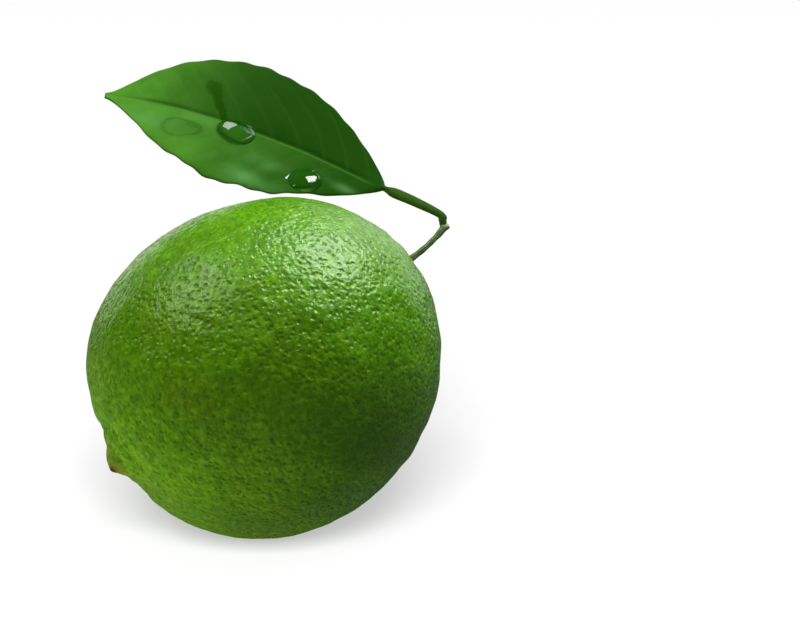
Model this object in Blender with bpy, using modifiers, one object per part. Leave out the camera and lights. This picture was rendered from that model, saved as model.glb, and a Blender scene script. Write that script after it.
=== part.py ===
"""A lime as picked: the whole fruit with its nipple, the calyx button, the cut twig and one leaf.

Metres, +Z up. The origin is the centre of the small flat spot that the fruit rests on. The fruit
lies on its side, with its stem end raised and turned away from the -Y side.
"""
import math

import bmesh
import bpy
import numpy as np
from mathutils import Vector

MM = 0.001

# A distance too small to divide by
TINY = 1e-9

COLLECTION_NAME = "lime"
CUTTER_COLLECTION_NAME = "lime_cutters"

# Fruit: a slightly long ellipsoid, whose axis runs from the nipple to the stem end and bends up
# a little towards both
FRUIT_RADIUS = 27.35 * MM
FRUIT_HALF_LENGTH = 29.0 * MM
FRUIT_CENTRE = (2.35 * MM, 1.2 * MM, 28.35 * MM)
AXIS_ELEVATION = math.radians(27.9)
AXIS_HEADING = math.radians(26.4)
AXIS_BEND = 1.2 * MM
FRUIT_SIDES = 64
FRUIT_RINGS = 46
POLE_CROWDING = 0.09
FLAT_CUT_SIZE = 60 * MM

# Broad swellings and hollows of the fruit: turn about the axis and angle from the stem end in
# degrees, rise in millimetres
SWELLINGS = (
    (-171.0, 25.0, -0.65),
    (160.0, 66.0, -0.85),
    (150.0, 104.0, 0.2),
    (138.0, 135.0, 1.25),
    (13.0, 140.0, 1.4),
    (-6.0, 115.0, 0.85),
)
SWELLING_SPREAD = 28.0

# Stem end: a low neck round the shallow dimple that holds the calyx
NECK_RISE = 0.7 * MM
NECK_SPREAD = 9.0 * MM
DIMPLE_DEPTH = 1.5 * MM
DIMPLE_SPREAD = 4.2 * MM

# Nipple end: a broad mound, the furrow round it and the nub on top
MOUND_RISE = 0.65 * MM
MOUND_SPREAD = 6.0 * MM
FURROW_DEPTH = 0.65 * MM
FURROW_RADIUS = 6.4 * MM
FURROW_SPREAD = 1.6 * MM
NUB_HEIGHT = 1.35 * MM
NUB_RADIUS = 3.3 * MM
NUB_ROUNDNESS = 1.5

# Meshes that touch keep this gap
GAP = 0.3 * MM

# Calyx: a five-lobed button that follows the dimple, with a short collar for the twig
CALYX_RADIUS = 3.7 * MM
CALYX_LOBES = 5
CALYX_NOTCH = 0.26
CALYX_NOTCH_POWER = 3
CALYX_THICKNESS = 1.0 * MM
CALYX_RIM_RISE = 0.25 * MM
CALYX_RIM_POWER = 4
COLLAR_RISE = 1.1 * MM
COLLAR_SPREAD = 1.25 * MM
CALYX_SIDES = 40
CALYX_RINGS = 14

# Twig: from the calyx to the node where the leaf starts, with a short cut stub past it
TWIG_NODE = (31.0 * MM, 17.0 * MM, 47.6 * MM)
TWIG_STUB_END = (31.9 * MM, 17.3 * MM, 47.9 * MM)
TWIG_THICKNESS = 0.95 * MM
TWIG_BASE_SWELL = 1.35
TWIG_NODE_SWELL = 1.4
TWIG_SWELL_POWER = 6
TWIG_HANDLE_SHARE = 0.5
TWIG_STEPS = 12
TWIG_SIDES_SETTING = 3

# Leaf: points along its middle, from the foot of the petiole over the bend and the joint to the tip
LEAF_MIDDLE = (
    (30.85 * MM, 17.6 * MM, 48.85 * MM),
    (30.4 * MM, 18.3 * MM, 49.7 * MM),
    (25.9 * MM, 20.2 * MM, 51.6 * MM),
    (20.9 * MM, 21.6 * MM, 53.5 * MM),
    (15.3 * MM, 22.6 * MM, 56.1 * MM),
    (7.3 * MM, 23.8 * MM, 59.6 * MM),
    (-0.6 * MM, 24.6 * MM, 62.5 * MM),
    (-9.6 * MM, 25.3 * MM, 65.5 * MM),
    (-18.4 * MM, 25.6 * MM, 67.6 * MM),
    (-26.6 * MM, 25.6 * MM, 68.8 * MM),
)
LEAF_JOINT_INDEX = 3
LEAF_PATH_FINENESS = 40
LEAF_FACES = (0.2143, -0.5625, 0.7985)
BLADE_HALF_WIDTH = 14.8 * MM
BLADE_FULLNESS = 0.75
BLADE_TIP_TAPER = 0.92
BLADE_TIP_POWER = 11
BLADE_BASE_TAPER = 0.22
BLADE_BASE_POWER = 4
PETIOLE_HALF_WIDTH = 1.25 * MM
PETIOLE_FOOT_HALF_WIDTH = 0.6 * MM
PETIOLE_TAPER_POWER = 2
JOINT_HALF_WIDTH = 0.5 * MM
JOINT_PINCH_SPREAD = 1.2 * MM
BLADE_FOLD = 0.14
BLADE_CURL = 0.07
WAVE_HEIGHT = 0.45 * MM
WAVE_COUNT = 4.5
WAVE_SIDE_SHIFT = 1.3
WAVE_EDGE_POWER = 3
SCALLOP_DEPTH = 0.16 * MM
SCALLOP_COUNT = 12
SCALLOP_SIDE_SHIFT = 1.9
BLADE_THICKNESS = 1.1 * MM
BLADE_EDGE_SHARE = 0.58
RIB_HALF_WIDTH = 1.2 * MM
LEAF_STEPS = 64
LEAF_COLUMNS = 12

# Base colour, roughness and metallic value of each piece
RIND_LOOK = ((0.060, 0.160, 0.006), 0.34, 0.0)
CALYX_LOOK = ((0.150, 0.190, 0.050), 0.62, 0.0)
TWIG_LOOK = ((0.070, 0.130, 0.028), 0.58, 0.0)
LEAF_LOOK = ((0.024, 0.100, 0.010), 0.36, 0.0)


def clear_scene():
    """Remove every object of the scene."""
    for thing in list(bpy.data.objects):
        bpy.data.objects.remove(thing, do_unlink=True)


def new_collection(name):
    collection = bpy.data.collections.new(name)
    bpy.context.scene.collection.children.link(collection)
    return collection


def new_material(name, look):
    """A Principled material from a base colour, a roughness and a metallic value."""
    colour, roughness, metallic = look
    material = bpy.data.materials.new(name)
    material.use_nodes = True
    shader = material.node_tree.nodes["Principled BSDF"]
    shader.inputs["Base Color"].default_value = (*colour, 1.0)
    shader.inputs["Roughness"].default_value = roughness
    shader.inputs["Metallic"].default_value = metallic
    return material


def new_object(name, data, collection, look=None):
    """An object for a mesh or a curve, with its own material if it has a look."""
    thing = bpy.data.objects.new(name, data)
    collection.objects.link(thing)
    if look is not None:
        data.materials.append(new_material(name + "_material", look))
    return thing


def mesh_from(bm, name):
    mesh = bpy.data.meshes.new(name)
    bm.to_mesh(mesh)
    bm.free()
    mesh.shade_smooth()
    return mesh


def vertex_positions(bm):
    return np.array([vertex.co[:] for vertex in bm.verts])


def move_vertices(bm, positions):
    for vertex, position in zip(bm.verts, positions):
        vertex.co = position


def bell(distance, spread):
    """A smooth hump: 1 at distance 0, falling away over the spread."""
    return np.exp(-((distance / spread) ** 2))


def stem_relief(distance):
    """Rise along the axis at a distance from it at the stem end: a neck with a dimple in it."""
    return NECK_RISE * bell(distance, NECK_SPREAD) - DIMPLE_DEPTH * bell(distance, DIMPLE_SPREAD)


def nub_share(distance):
    """1 on top of the nub, 0 from its foot outwards."""
    return np.clip(1.0 - (distance / NUB_RADIUS) ** 2, 0.0, 1.0) ** NUB_ROUNDNESS


def nipple_relief(distance):
    """Rise along the axis at a distance from it at the nipple end: mound, furrow and nub."""
    mound = MOUND_RISE * bell(distance, MOUND_SPREAD)
    furrow = FURROW_DEPTH * bell(distance - FURROW_RADIUS, FURROW_SPREAD)
    return mound - furrow + NUB_HEIGHT * nub_share(distance)


def swelling_rise(directions):
    """Rise of the broad swellings in each unit direction from the fruit's centre."""
    rise = np.zeros(len(directions))
    for turn, from_stem, height in SWELLINGS:
        turn = math.radians(turn)
        from_stem = math.radians(from_stem)
        middle = np.array((
            math.sin(from_stem) * math.cos(turn),
            math.sin(from_stem) * math.sin(turn),
            math.cos(from_stem),
        ))
        angle = np.degrees(np.arccos(np.clip(directions @ middle, -1.0, 1.0)))
        rise += height * MM * bell(angle, SWELLING_SPREAD)
    return rise


def crowd_to_poles(directions):
    """Slide the rings of a unit sphere towards its poles, where the fruit has its small forms."""
    polar = np.arccos(np.clip(directions[:, 2], -1.0, 1.0))
    slid = polar - POLE_CROWDING * math.pi * np.sin(2.0 * polar)
    across = np.hypot(directions[:, 0], directions[:, 1])
    safe = np.maximum(across, TINY)
    stretch = np.sin(slid) / safe
    return np.column_stack((directions[:, 0] * stretch, directions[:, 1] * stretch, np.cos(slid)))


def bend_with_axis(points):
    """Shift points sideways with the fruit's bent axis, by the square of their height on it."""
    points[:, 0] -= AXIS_BEND * (points[:, 2] / FRUIT_HALF_LENGTH) ** 2
    return points


def fruit_surface(directions):
    """The rind in the fruit's own frame, whose +Z is the stem end, +X the side that faces down.

    Each unit direction gives the ellipsoid's point, raised along its direction by the broad
    swellings and along the axis by the relief of the stem end or of the nipple end, and then
    shifted with the bent axis.
    """
    size = np.array((FRUIT_RADIUS, FRUIT_RADIUS, FRUIT_HALF_LENGTH))
    points = directions * size + directions * swelling_rise(directions)[:, None]
    distance = FRUIT_RADIUS * np.hypot(directions[:, 0], directions[:, 1])
    at_stem = directions[:, 2] > 0.0
    points[:, 2] += np.where(at_stem, stem_relief(distance), -nipple_relief(distance))
    return bend_with_axis(points)


def add_axis_frame(collection):
    """The empty at the fruit's centre that turns the fruit's own frame into its place."""
    frame = bpy.data.objects.new("fruit_axis", None)
    frame.empty_display_size = FRUIT_RADIUS
    frame.location = FRUIT_CENTRE
    frame.rotation_euler = (0.0, math.pi / 2.0 - AXIS_ELEVATION, AXIS_HEADING)
    collection.objects.link(frame)
    bpy.context.view_layer.update()
    return frame


def add_fruit(collection, cutters, frame):
    """The rind as one closed form, cut level where it rests."""
    bm = bmesh.new()
    bmesh.ops.create_uvsphere(bm, u_segments=FRUIT_SIDES, v_segments=FRUIT_RINGS, radius=1.0)
    move_vertices(bm, fruit_surface(crowd_to_poles(vertex_positions(bm))))
    fruit = new_object("fruit", mesh_from(bm, "fruit"), collection, RIND_LOOK)
    fruit.parent = frame

    bm = bmesh.new()
    bmesh.ops.create_cube(bm, size=FLAT_CUT_SIZE)
    ground = new_object("rest_cutter", mesh_from(bm, "rest_cutter"), cutters)
    ground.location.z = -FLAT_CUT_SIZE / 2.0
    ground.display_type = "WIRE"
    ground.hide_render = True
    cut = fruit.modifiers.new("rest_spot", "BOOLEAN")
    cut.operation = "DIFFERENCE"
    cut.object = ground
    return fruit


def calyx_surface(directions):
    """The calyx in the fruit's own frame, from the unit directions of a sphere.

    Its outline is a circle with five rounded notches. Its lower side lies on the rind at the
    gap, and its upper side is a low dome, with the collar on top.
    """
    across = np.hypot(directions[:, 0], directions[:, 1])
    turn = np.arctan2(directions[:, 1], directions[:, 0])
    notch = CALYX_NOTCH * (0.5 - 0.5 * np.cos(CALYX_LOBES * turn)) * across ** CALYX_NOTCH_POWER
    distance = CALYX_RADIUS * across * (1.0 - notch)
    under = distance / FRUIT_RADIUS
    bed = np.column_stack((under * np.cos(turn), under * np.sin(turn), np.sqrt(1.0 - under ** 2)))
    points = fruit_surface(bed)
    dome = CALYX_THICKNESS * (0.5 + 0.5 * directions[:, 2]) * np.sqrt(np.abs(directions[:, 2]))
    collar = COLLAR_RISE * bell(distance, COLLAR_SPREAD) * (directions[:, 2] > 0.0)
    rim = CALYX_RIM_RISE * across ** CALYX_RIM_POWER
    points[:, 2] += GAP + dome + collar + rim
    return points


def add_calyx(collection, frame):
    bm = bmesh.new()
    bmesh.ops.create_uvsphere(bm, u_segments=CALYX_SIDES, v_segments=CALYX_RINGS, radius=1.0)
    move_vertices(bm, calyx_surface(vertex_positions(bm)))
    calyx = new_object("calyx", mesh_from(bm, "calyx"), collection, CALYX_LOOK)
    calyx.parent = frame
    return calyx


def twig_foot():
    """The middle of the twig's lower end, just over the collar, in the fruit's own frame."""
    collar_top = calyx_surface(np.array(((0.0, 0.0, 1.0),)))[0]
    return Vector(collar_top) + Vector((0.0, 0.0, GAP))


def add_twig(collection, frame):
    """A bevelled curve that leaves the calyx along the axis and bends to the node."""
    foot = frame.matrix_world @ twig_foot()
    along = (frame.matrix_world.to_3x3() @ Vector((0.0, 0.0, 1.0))).normalized()
    node = Vector(TWIG_NODE)
    reach = (node - foot).length
    handle = foot + along * reach * TWIG_HANDLE_SHARE
    curve = bpy.data.curves.new("twig", "CURVE")
    curve.dimensions = "3D"
    curve.bevel_depth = TWIG_THICKNESS / 2.0
    curve.bevel_resolution = TWIG_SIDES_SETTING
    curve.use_fill_caps = True
    spline = curve.splines.new("POLY")
    spline.points.add(TWIG_STEPS + 1)
    for index in range(TWIG_STEPS + 1):
        share = index / TWIG_STEPS
        place = foot * (1 - share) ** 2 + handle * 2 * share * (1 - share) + node * share ** 2
        base_swell = (TWIG_BASE_SWELL - 1.0) * (1 - share) ** TWIG_SWELL_POWER
        node_swell = (TWIG_NODE_SWELL - 1.0) * share ** TWIG_SWELL_POWER
        spline.points[index].co = (*place, 1.0)
        spline.points[index].radius = 1.0 + base_swell + node_swell
    spline.points[TWIG_STEPS + 1].co = (*TWIG_STUB_END, 1.0)
    return new_object("twig", curve, collection, TWIG_LOOK)


def smooth_path(points, steps):
    """Evenly spaced points on the Catmull-Rom curve through the points, and where each one lies."""
    points = np.array(points)
    padded = np.vstack((2 * points[0] - points[1], points, 2 * points[-1] - points[-2]))
    share = np.arange(LEAF_PATH_FINENESS)[:, None] / LEAF_PATH_FINENESS
    pieces = []
    for before, start, end, after in zip(padded, padded[1:], padded[2:], padded[3:]):
        pieces.append(0.5 * (
            2 * start + (end - before) * share
            + (2 * before - 5 * start + 4 * end - after) * share ** 2
            + (3 * start - before - 3 * end + after) * share ** 3
        ))
    dense = np.vstack((*pieces, points[-1:]))
    run = np.concatenate(((0.0,), np.cumsum(np.linalg.norm(np.diff(dense, axis=0), axis=1))))
    joint_run = run[LEAF_PATH_FINENESS * LEAF_JOINT_INDEX]
    stations = np.linspace(0.0, run[-1], steps + 1)
    path = np.column_stack([np.interp(stations, run, dense[:, axis]) for axis in range(3)])
    return path, stations - joint_run


def leaf_half_width(run, blade_length, side_shift):
    """Half the width at a run from the joint: winged petiole, narrow joint, then the blade.

    The blade's outline is a sine over its length, raised to a power for its fullness, drawn in
    after the joint and before the tip, and scalloped along the edge. The side shift puts the
    scallops of the two edges out of step.
    """
    petiole_length = -run[0]
    foot = np.clip(-run / petiole_length, 0.0, 1.0)
    narrowing = (PETIOLE_HALF_WIDTH - PETIOLE_FOOT_HALF_WIDTH) * foot ** PETIOLE_TAPER_POWER
    petiole = PETIOLE_HALF_WIDTH - narrowing
    share = np.clip(run / blade_length, 0.0, 1.0)
    outline = np.sin(math.pi * share) ** BLADE_FULLNESS
    outline *= 1.0 - BLADE_TIP_TAPER * share ** BLADE_TIP_POWER
    outline *= 1.0 - BLADE_BASE_TAPER * (1.0 - share) ** BLADE_BASE_POWER
    blade = (BLADE_HALF_WIDTH - JOINT_HALF_WIDTH) * outline
    scallop = SCALLOP_DEPTH * np.sin(2 * math.pi * SCALLOP_COUNT * share + side_shift) * outline
    pinch = 1.0 - bell(run, JOINT_PINCH_SPREAD)
    return JOINT_HALF_WIDTH + np.where(run < 0.0, (petiole - JOINT_HALF_WIDTH) * pinch, blade + scallop)


def leaf_surface(steps, columns):
    """The leaf's middle surface as rows along the path and columns across.

    Each row runs along the direction across the path in the plane the leaf faces. It lifts from
    the middle by the fold, falls back by the curl, and carries the wave, which grows to the edge.
    """
    path, run = smooth_path(LEAF_MIDDLE, steps)
    along = np.gradient(path, axis=0)
    along /= np.linalg.norm(along, axis=1)[:, None]
    across = np.cross(np.array(LEAF_FACES), along)
    across /= np.linalg.norm(across, axis=1)[:, None]
    facing = np.cross(along, across)
    position = np.linspace(-1.0, 1.0, columns + 1)[None, :]
    left = leaf_half_width(run, run[-1], 0.0)[:, None]
    right = leaf_half_width(run, run[-1], SCALLOP_SIDE_SHIFT)[:, None]
    reach = np.where(position < 0.0, left, right) * position
    share = np.clip(run / run[-1], 0.0, 1.0)[:, None]
    width_share = np.abs(reach) / BLADE_HALF_WIDTH
    wave = np.sin(2 * math.pi * WAVE_COUNT * share + WAVE_SIDE_SHIFT * np.sign(position))
    wave = wave * np.abs(position) ** WAVE_EDGE_POWER
    lift = BLADE_FOLD * np.abs(reach) - BLADE_CURL * BLADE_HALF_WIDTH * width_share ** 2
    lift = (lift + WAVE_HEIGHT * wave) * np.sin(math.pi * share)
    surface = path[:, None, :] + across[:, None, :] * reach[:, :, None]
    surface = surface + facing[:, None, :] * lift[:, :, None]
    return surface, np.abs(reach)


def add_leaf(collection):
    """Blade and winged petiole in one waved sheet, thicker along the middle rib."""
    surface, reach = leaf_surface(LEAF_STEPS, LEAF_COLUMNS)
    bm = bmesh.new()
    bmesh.ops.create_grid(bm, x_segments=LEAF_STEPS, y_segments=LEAF_COLUMNS, size=1.0)
    flat = vertex_positions(bm)
    row = np.rint((flat[:, 0] + 1.0) / 2.0 * LEAF_STEPS).astype(int)
    column = np.rint((flat[:, 1] + 1.0) / 2.0 * LEAF_COLUMNS).astype(int)
    move_vertices(bm, surface[row, column])
    bmesh.ops.triangulate(bm, faces=bm.faces[:])
    leaf = new_object("leaf", mesh_from(bm, "leaf"), collection, LEAF_LOOK)
    rib = leaf.vertex_groups.new(name="rib")
    for index, distance in enumerate(reach[row, column]):
        rib.add([index], float(bell(distance, RIB_HALF_WIDTH)), "REPLACE")
    wall = leaf.modifiers.new("thickness", "SOLIDIFY")
    wall.thickness = BLADE_THICKNESS
    wall.offset = 0.0
    wall.vertex_group = "rib"
    wall.thickness_vertex_group = BLADE_EDGE_SHARE
    return leaf


def build():
    clear_scene()
    lime = new_collection(COLLECTION_NAME)
    cutters = new_collection(CUTTER_COLLECTION_NAME)
    frame = add_axis_frame(lime)
    add_fruit(lime, cutters, frame)
    add_calyx(lime, frame)
    add_twig(lime, frame)
    add_leaf(lime)


build()
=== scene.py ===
import math

import bpy
import numpy as np
from bpy.props import FloatProperty, FloatVectorProperty, IntProperty, PointerProperty
from mathutils import Matrix, Vector


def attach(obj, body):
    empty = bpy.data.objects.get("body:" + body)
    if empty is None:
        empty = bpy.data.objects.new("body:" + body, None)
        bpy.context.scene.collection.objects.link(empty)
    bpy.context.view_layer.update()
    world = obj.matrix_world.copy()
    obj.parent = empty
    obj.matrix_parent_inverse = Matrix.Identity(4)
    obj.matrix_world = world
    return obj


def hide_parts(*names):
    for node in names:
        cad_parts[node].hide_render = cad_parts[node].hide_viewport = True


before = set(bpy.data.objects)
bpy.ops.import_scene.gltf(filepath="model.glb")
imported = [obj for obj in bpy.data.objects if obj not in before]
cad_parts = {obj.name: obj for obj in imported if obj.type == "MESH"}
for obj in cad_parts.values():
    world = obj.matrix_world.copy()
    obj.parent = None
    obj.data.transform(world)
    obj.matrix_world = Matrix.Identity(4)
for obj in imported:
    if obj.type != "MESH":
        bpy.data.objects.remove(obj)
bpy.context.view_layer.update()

bl_info = {
    "name": "Lime with twig and leaf",
    "version": (1, 0, 0),
    "blender": (4, 5, 0),
    "location": "3D View > Sidebar > Lime",
    "description": "Dresses the packed lime: pitted rind, calyx, twig, veined leaf and drops of water",
    "category": "Add Mesh",
}

MM = 0.001
TINY = 1e-9
BODY = "root"

# Fruit form, the same values as the solid's
FRUIT_RADIUS = 27.35 * MM
FRUIT_HALF_LENGTH = 29.0 * MM
FRUIT_CENTRE = np.array((2.35, 1.2, 28.35)) * MM
AXIS_ELEVATION = math.radians(27.9)
AXIS_HEADING = math.radians(26.4)
AXIS_BEND = 1.2 * MM

# Broad swellings: turn about the axis and angle from the stem end in degrees, rise in millimetres
SWELLINGS = (
    (-171.0, 25.0, -0.65),
    (160.0, 66.0, -0.85),
    (150.0, 104.0, 0.2),
    (138.0, 135.0, 1.25),
    (13.0, 140.0, 1.4),
    (-6.0, 115.0, 0.85),
)
SWELLING_SPREAD = 28.0
NECK_RISE = 0.7 * MM
NECK_SPREAD = 9.0 * MM
DIMPLE_DEPTH = 1.5 * MM
DIMPLE_SPREAD = 4.2 * MM
MOUND_RISE = 0.65 * MM
MOUND_SPREAD = 6.0 * MM
FURROW_DEPTH = 0.65 * MM
FURROW_RADIUS = 6.4 * MM
FURROW_SPREAD = 1.6 * MM
NUB_HEIGHT = 1.35 * MM
NUB_RADIUS = 3.3 * MM
NUB_ROUNDNESS = 1.5

# Rind details: the mesh is crowded to the nipple, creases run round both ends and folds over the
# nub, a stub stands on the nub, and pits stay away from both ends
CROWDING = 0.5
CROWDING_SPREAD = 0.25
LONG_WAVES = 7.0 * MM
SHORT_WAVES = 3.2 * MM
CREASE_RISE = 0.10 * MM
CREASE_RADIUS = 6.5 * MM
CREASE_SPREAD = 3.0 * MM
FOLD_RADIUS = 2.4 * MM
FOLD_SPREAD = 1.3 * MM
STUB_PLACE = (0.7 * MM, -0.6 * MM)
STUB_RISE = 0.35 * MM
STUB_SPREAD = 0.7 * MM
PIT_DEPTH_FADE = (0.3, 0.75)
PITS_FROM_NIPPLE = (1.5 * MM, 4.5 * MM)
PITS_FROM_STEM = (3.0 * MM, 5.0 * MM)
STEM_RING_SPREAD = 4.4 * MM

# Patches of the skin: direction from the fruit's centre, spread in degrees, strength
OLIVE_PATCHES = (
    ((-0.93, -0.30, 0.18), 10.0, 0.9),
    ((-0.28, -0.96, 0.04), 9.0, 0.25),
    ((-0.11, -0.86, -0.50), 8.0, 0.35),
    ((-0.53, -0.55, -0.65), 12.0, 0.5),
    ((0.05, -0.55, -0.83), 24.0, 0.6),
    ((0.20, -0.92, 0.35), 13.0, 0.3),
    ((0.40, 0.85, -0.30), 16.0, 0.5),
)
# Painted shade: skin painted darker where shade falls, most on the lower right and at the bottom, and a
# darker patch under the right highlight
SHADE_PATCHES = (
    ((0.62, -0.75, -0.22), 24.0, 0.85),
    ((0.30, -0.70, -0.65), 24.0, 0.75),
    ((-0.05, -0.62, -0.78), 18.0, 0.75),
    ((0.20, -0.98, 0.06), 16.0, 0.3),
    ((0.37, -0.43, 0.82), 13.0, 0.35),
    ((-0.45, 0.80, -0.40), 22.0, 0.6),
)
# Painted light: skin painted lighter on the left rim, where the sheen falls, on the lower left, where light
# comes up from the floor, and above the right highlight
PAINTED_LIGHT_PATCHES = (
    ((-0.95, -0.28, -0.08), 13.0, 0.8),
    ((-0.80, -0.50, -0.33), 13.0, 0.6),
    ((-0.55, -0.72, -0.42), 14.0, 0.35),
    ((-0.22, -0.94, -0.26), 15.0, 0.34),
    ((0.10, -0.93, -0.36), 12.0, 0.24),
    ((0.35, -0.10, 0.93), 20.0, 0.15),
)

# Calyx and twig
CALYX_RADIUS = 3.7 * MM
CALYX_LOBES = 5
CALYX_NOTCH = 0.26
CALYX_NOTCH_POWER = 3
CALYX_THICKNESS = 1.0 * MM
CALYX_RIM_RISE = 0.25 * MM
CALYX_RIM_POWER = 4
CALYX_RIPPLE = 0.12 * MM
CALYX_RIPPLE_SIZE = 1.6 * MM
CALYX_ROWS = 70
CALYX_SIDES = 180
COLLAR_RISE = 1.1 * MM
COLLAR_SPREAD = 1.25 * MM
TWIG_NODE = np.array((31.0, 17.0, 47.6)) * MM
TWIG_STUB_END = np.array((31.9, 17.3, 47.9)) * MM
TWIG_THICKNESS = 0.95 * MM
TWIG_BASE_SWELL = 1.35
TWIG_NODE_SWELL = 1.4
TWIG_TIP_SWELL = 0.8
TWIG_SWELL_POWER = 6
TWIG_HANDLE_SHARE = 0.5
TWIG_ROOT = 0.5 * MM
TWIG_RIPPLE = 0.035 * MM
TWIG_RIPPLE_SIZE = 2.2 * MM
TWIG_STEPS = 110
TWIG_STUB_STEPS = 15
TWIG_SIDES = 48
TWIG_DRY_STEPS = (-9.0, -3.0)

# Leaf: points along its middle from inside the twig's node to the tip
LEAF_MIDDLE = np.array((
    (31.0, 17.1, 47.7),
    (30.85, 17.6, 48.85),
    (30.4, 18.3, 49.7),
    (25.9, 20.2, 51.6),
    (20.9, 21.6, 53.5),
    (15.3, 22.6, 56.1),
    (7.3, 23.8, 59.6),
    (-0.6, 24.6, 62.5),
    (-9.6, 25.3, 65.5),
    (-18.4, 25.6, 67.6),
    (-26.6, 25.6, 68.8),
)) * MM
LEAF_JOINT_INDEX = 4
LEAF_FACES = np.array((0.2143, -0.5625, 0.7985))
BLADE_HALF_WIDTH = 14.8 * MM
BLADE_FULLNESS = 0.75
BLADE_TIP_TAPER = 0.92
BLADE_TIP_POWER = 11
BLADE_BASE_TAPER = 0.22
BLADE_BASE_POWER = 4
PETIOLE_HALF_WIDTH = 1.25 * MM
PETIOLE_FOOT_HALF_WIDTH = 0.6 * MM
JOINT_HALF_WIDTH = 0.5 * MM
JOINT_PINCH_SPREAD = 1.2 * MM
BLADE_FOLD = 0.14
BLADE_CURL = 0.07
WAVE_HEIGHT = 0.45 * MM
WAVE_COUNT = 4.5
WAVE_SIDE_SHIFT = 1.3
WAVE_EDGE_POWER = 3
WAVE_SHARES = (0.2, 0.8)
SCALLOP_DEPTH = 0.16 * MM
SCALLOP_COUNT = 12
SCALLOP_SIDE_SHIFT = 1.9
BLADE_EDGE_POWER = 24
STALK_THICKNESS = (0.16 * MM, 0.34 * MM)
MIDRIB_SPREAD = 0.45 * MM
KEEL_SPREAD = 0.6 * MM
PUCKER_RISE = 0.06 * MM
PUCKER_SIZE = 9.0 * MM
STALK_END = (0.5 * MM, 4.0 * MM)
VEIN_SLANT = 0.55
VEIN_BEND = 0.022 / MM
VEIN_SIDE_SHIFT = 0.45
VEIN_SWAY = 0.12
VEIN_SWAY_LENGTH = 5.1 * MM
VEIN_SPREAD = 0.30 * MM
VEIN_START = (1.0 * MM, 5.0 * MM)
VEIN_REACH = (9.5 * MM, 13.0 * MM)
LIGHT_SPREAD = 0.8 * MM
MARGIN_SPREAD = 0.018

# Painted sheen on the leaf, pale bands where the sheen falls: run and reach of the middle, half length
# and half width in millimetres, and strength
SHEEN_BANDS = (
    (21.5, 12.0, 5.0, 1.8, 0.9),
    (20.0, 7.0, 3.5, 1.6, 0.6),
    (5.7, 4.6, 3.0, 0.9, 0.8),
    (33.0, 1.6, 2.5, 1.2, 0.5),
    (42.0, 4.0, 6.0, 2.2, 0.5),
)

# Wet marks on the leaf: run and reach of the streak's ends and of the film's middle, millimetres
STREAK_ENDS = ((33.2, -6.3), (29.5, 0.2))
FILM_MIDDLE = (36.3, 5.0)
FILM_SIZE = (4.0, 2.6)
FILM_SLANT = 0.2

# Drops on the leaf: run and reach of the middle, half length, half width, turn, height, slopes of
# the top along and across the leaf, and the radius that it is rounded to, lengths in millimetres
DROPS = (
    ("water_drop_1", 26.8, 2.2, 3.4, 3.0, 0.3, 1.35, 0.17, -0.05, 9.0),
    ("water_drop_2", 12.9, 7.1, 3.6, 3.0, 0.5, 1.1, -0.32, 0.02, 6.5),
)
DROP_ROWS = 40
DROP_SIDES = 96
DROP_EASE = 0.3
DROP_RIM_POWER = 6
LEAF_SKIN = 0.21 * MM

# Lamps: name, whether it lights matt surfaces or else reflections, direction from the fruit's
# centre, distance in metres, width and height, the setting that holds its power and the share of it
SOFT = (2.2, 2.2)
LAMPS = (
    ("top_softbox", True, (0.15, 0.25, 0.95), 3.0, SOFT, "top_power", 1.0),
    ("right_softbox", True, (0.80, -0.10, 0.60), 3.0, SOFT, "side_power", 1.0),
    ("side_softbox", True, (-0.85, -0.30, -0.43), 3.0, SOFT, "side_power", 0.5),
    ("low_softbox", True, (-0.62, -0.10, -0.78), 3.0, SOFT, "floor_glow", 1.0),
    ("left_softbox", True, (-0.80, 0.55, -0.20), 3.0, SOFT, "behind_power", 1.0),
    ("back_softbox", True, (0.15, 0.95, -0.10), 3.0, SOFT, "behind_power", 1.0),
    ("key_glint", False, (0.43, 0.23, 0.873), 0.9, (0.60, 0.60), "key_power", 1.0),
    ("left_glint", False, (-0.606, -0.062, 0.79), 0.9, (0.50, 0.36), "left_power", 1.0),
    ("right_card", False, (0.42, 0.87, 0.22), 1.5, (1.2, 1.0), "rim_power", 1.0),
    ("left_card", False, (-0.42, 0.90, 0.02), 1.5, (1.0, 0.5), "rim_power", 0.5),
    ("floor_softbox", True, (0.0, -0.78, 0.62), 12.0, (6.0, 6.0), "floor_power", 1.0),
    ("drop_glint", False, (0.10, 0.264, 0.96), 0.9, (0.42, 0.56), "key_power", 0.30),
)

# Pieces that a glint leaves out, so that each highlight lies where it should
GLINT_SKIPS = {
    "key_glint": ("leaf_blade", "water_drop_1"),
    "left_glint": ("water_drop_1",),
    "drop_glint": ("rind", "calyx_button", "twig_stalk", "leaf_blade", "water_drop_2"),
}

CAMERA_PLACE = (23.657 * MM, -349.572 * MM, 131.050 * MM)
CAMERA_PITCH = math.radians(75.0)
SENSOR_WIDTH = 36.0
NEAREST_SEEN = 0.01
FLOOR_SIDES = 96

# Numbers of the hash that places the points of Blender's cell texture
HASH_START = 0xDEADBEEF + 13
HASH_MIX_BITS = (4, 6, 8, 16, 19, 4)
HASH_FINAL_STEPS = ((2, 1, 14), (0, 2, 11), (1, 0, 25), (2, 1, 16), (0, 2, 4), (1, 0, 14), (2, 1, 24))
HASH_RANGE = float(0xFFFFFFFF)


def length(name, description, default):
    """A length in metres for the sidebar."""
    return FloatProperty(name=name, description=description, default=default, unit="LENGTH", precision=5)


def factor(name, description, default):
    """A share from 0 to 1 for the sidebar."""
    return FloatProperty(
        name=name, description=description, default=default, min=0.0, max=1.0, subtype="FACTOR")


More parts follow.
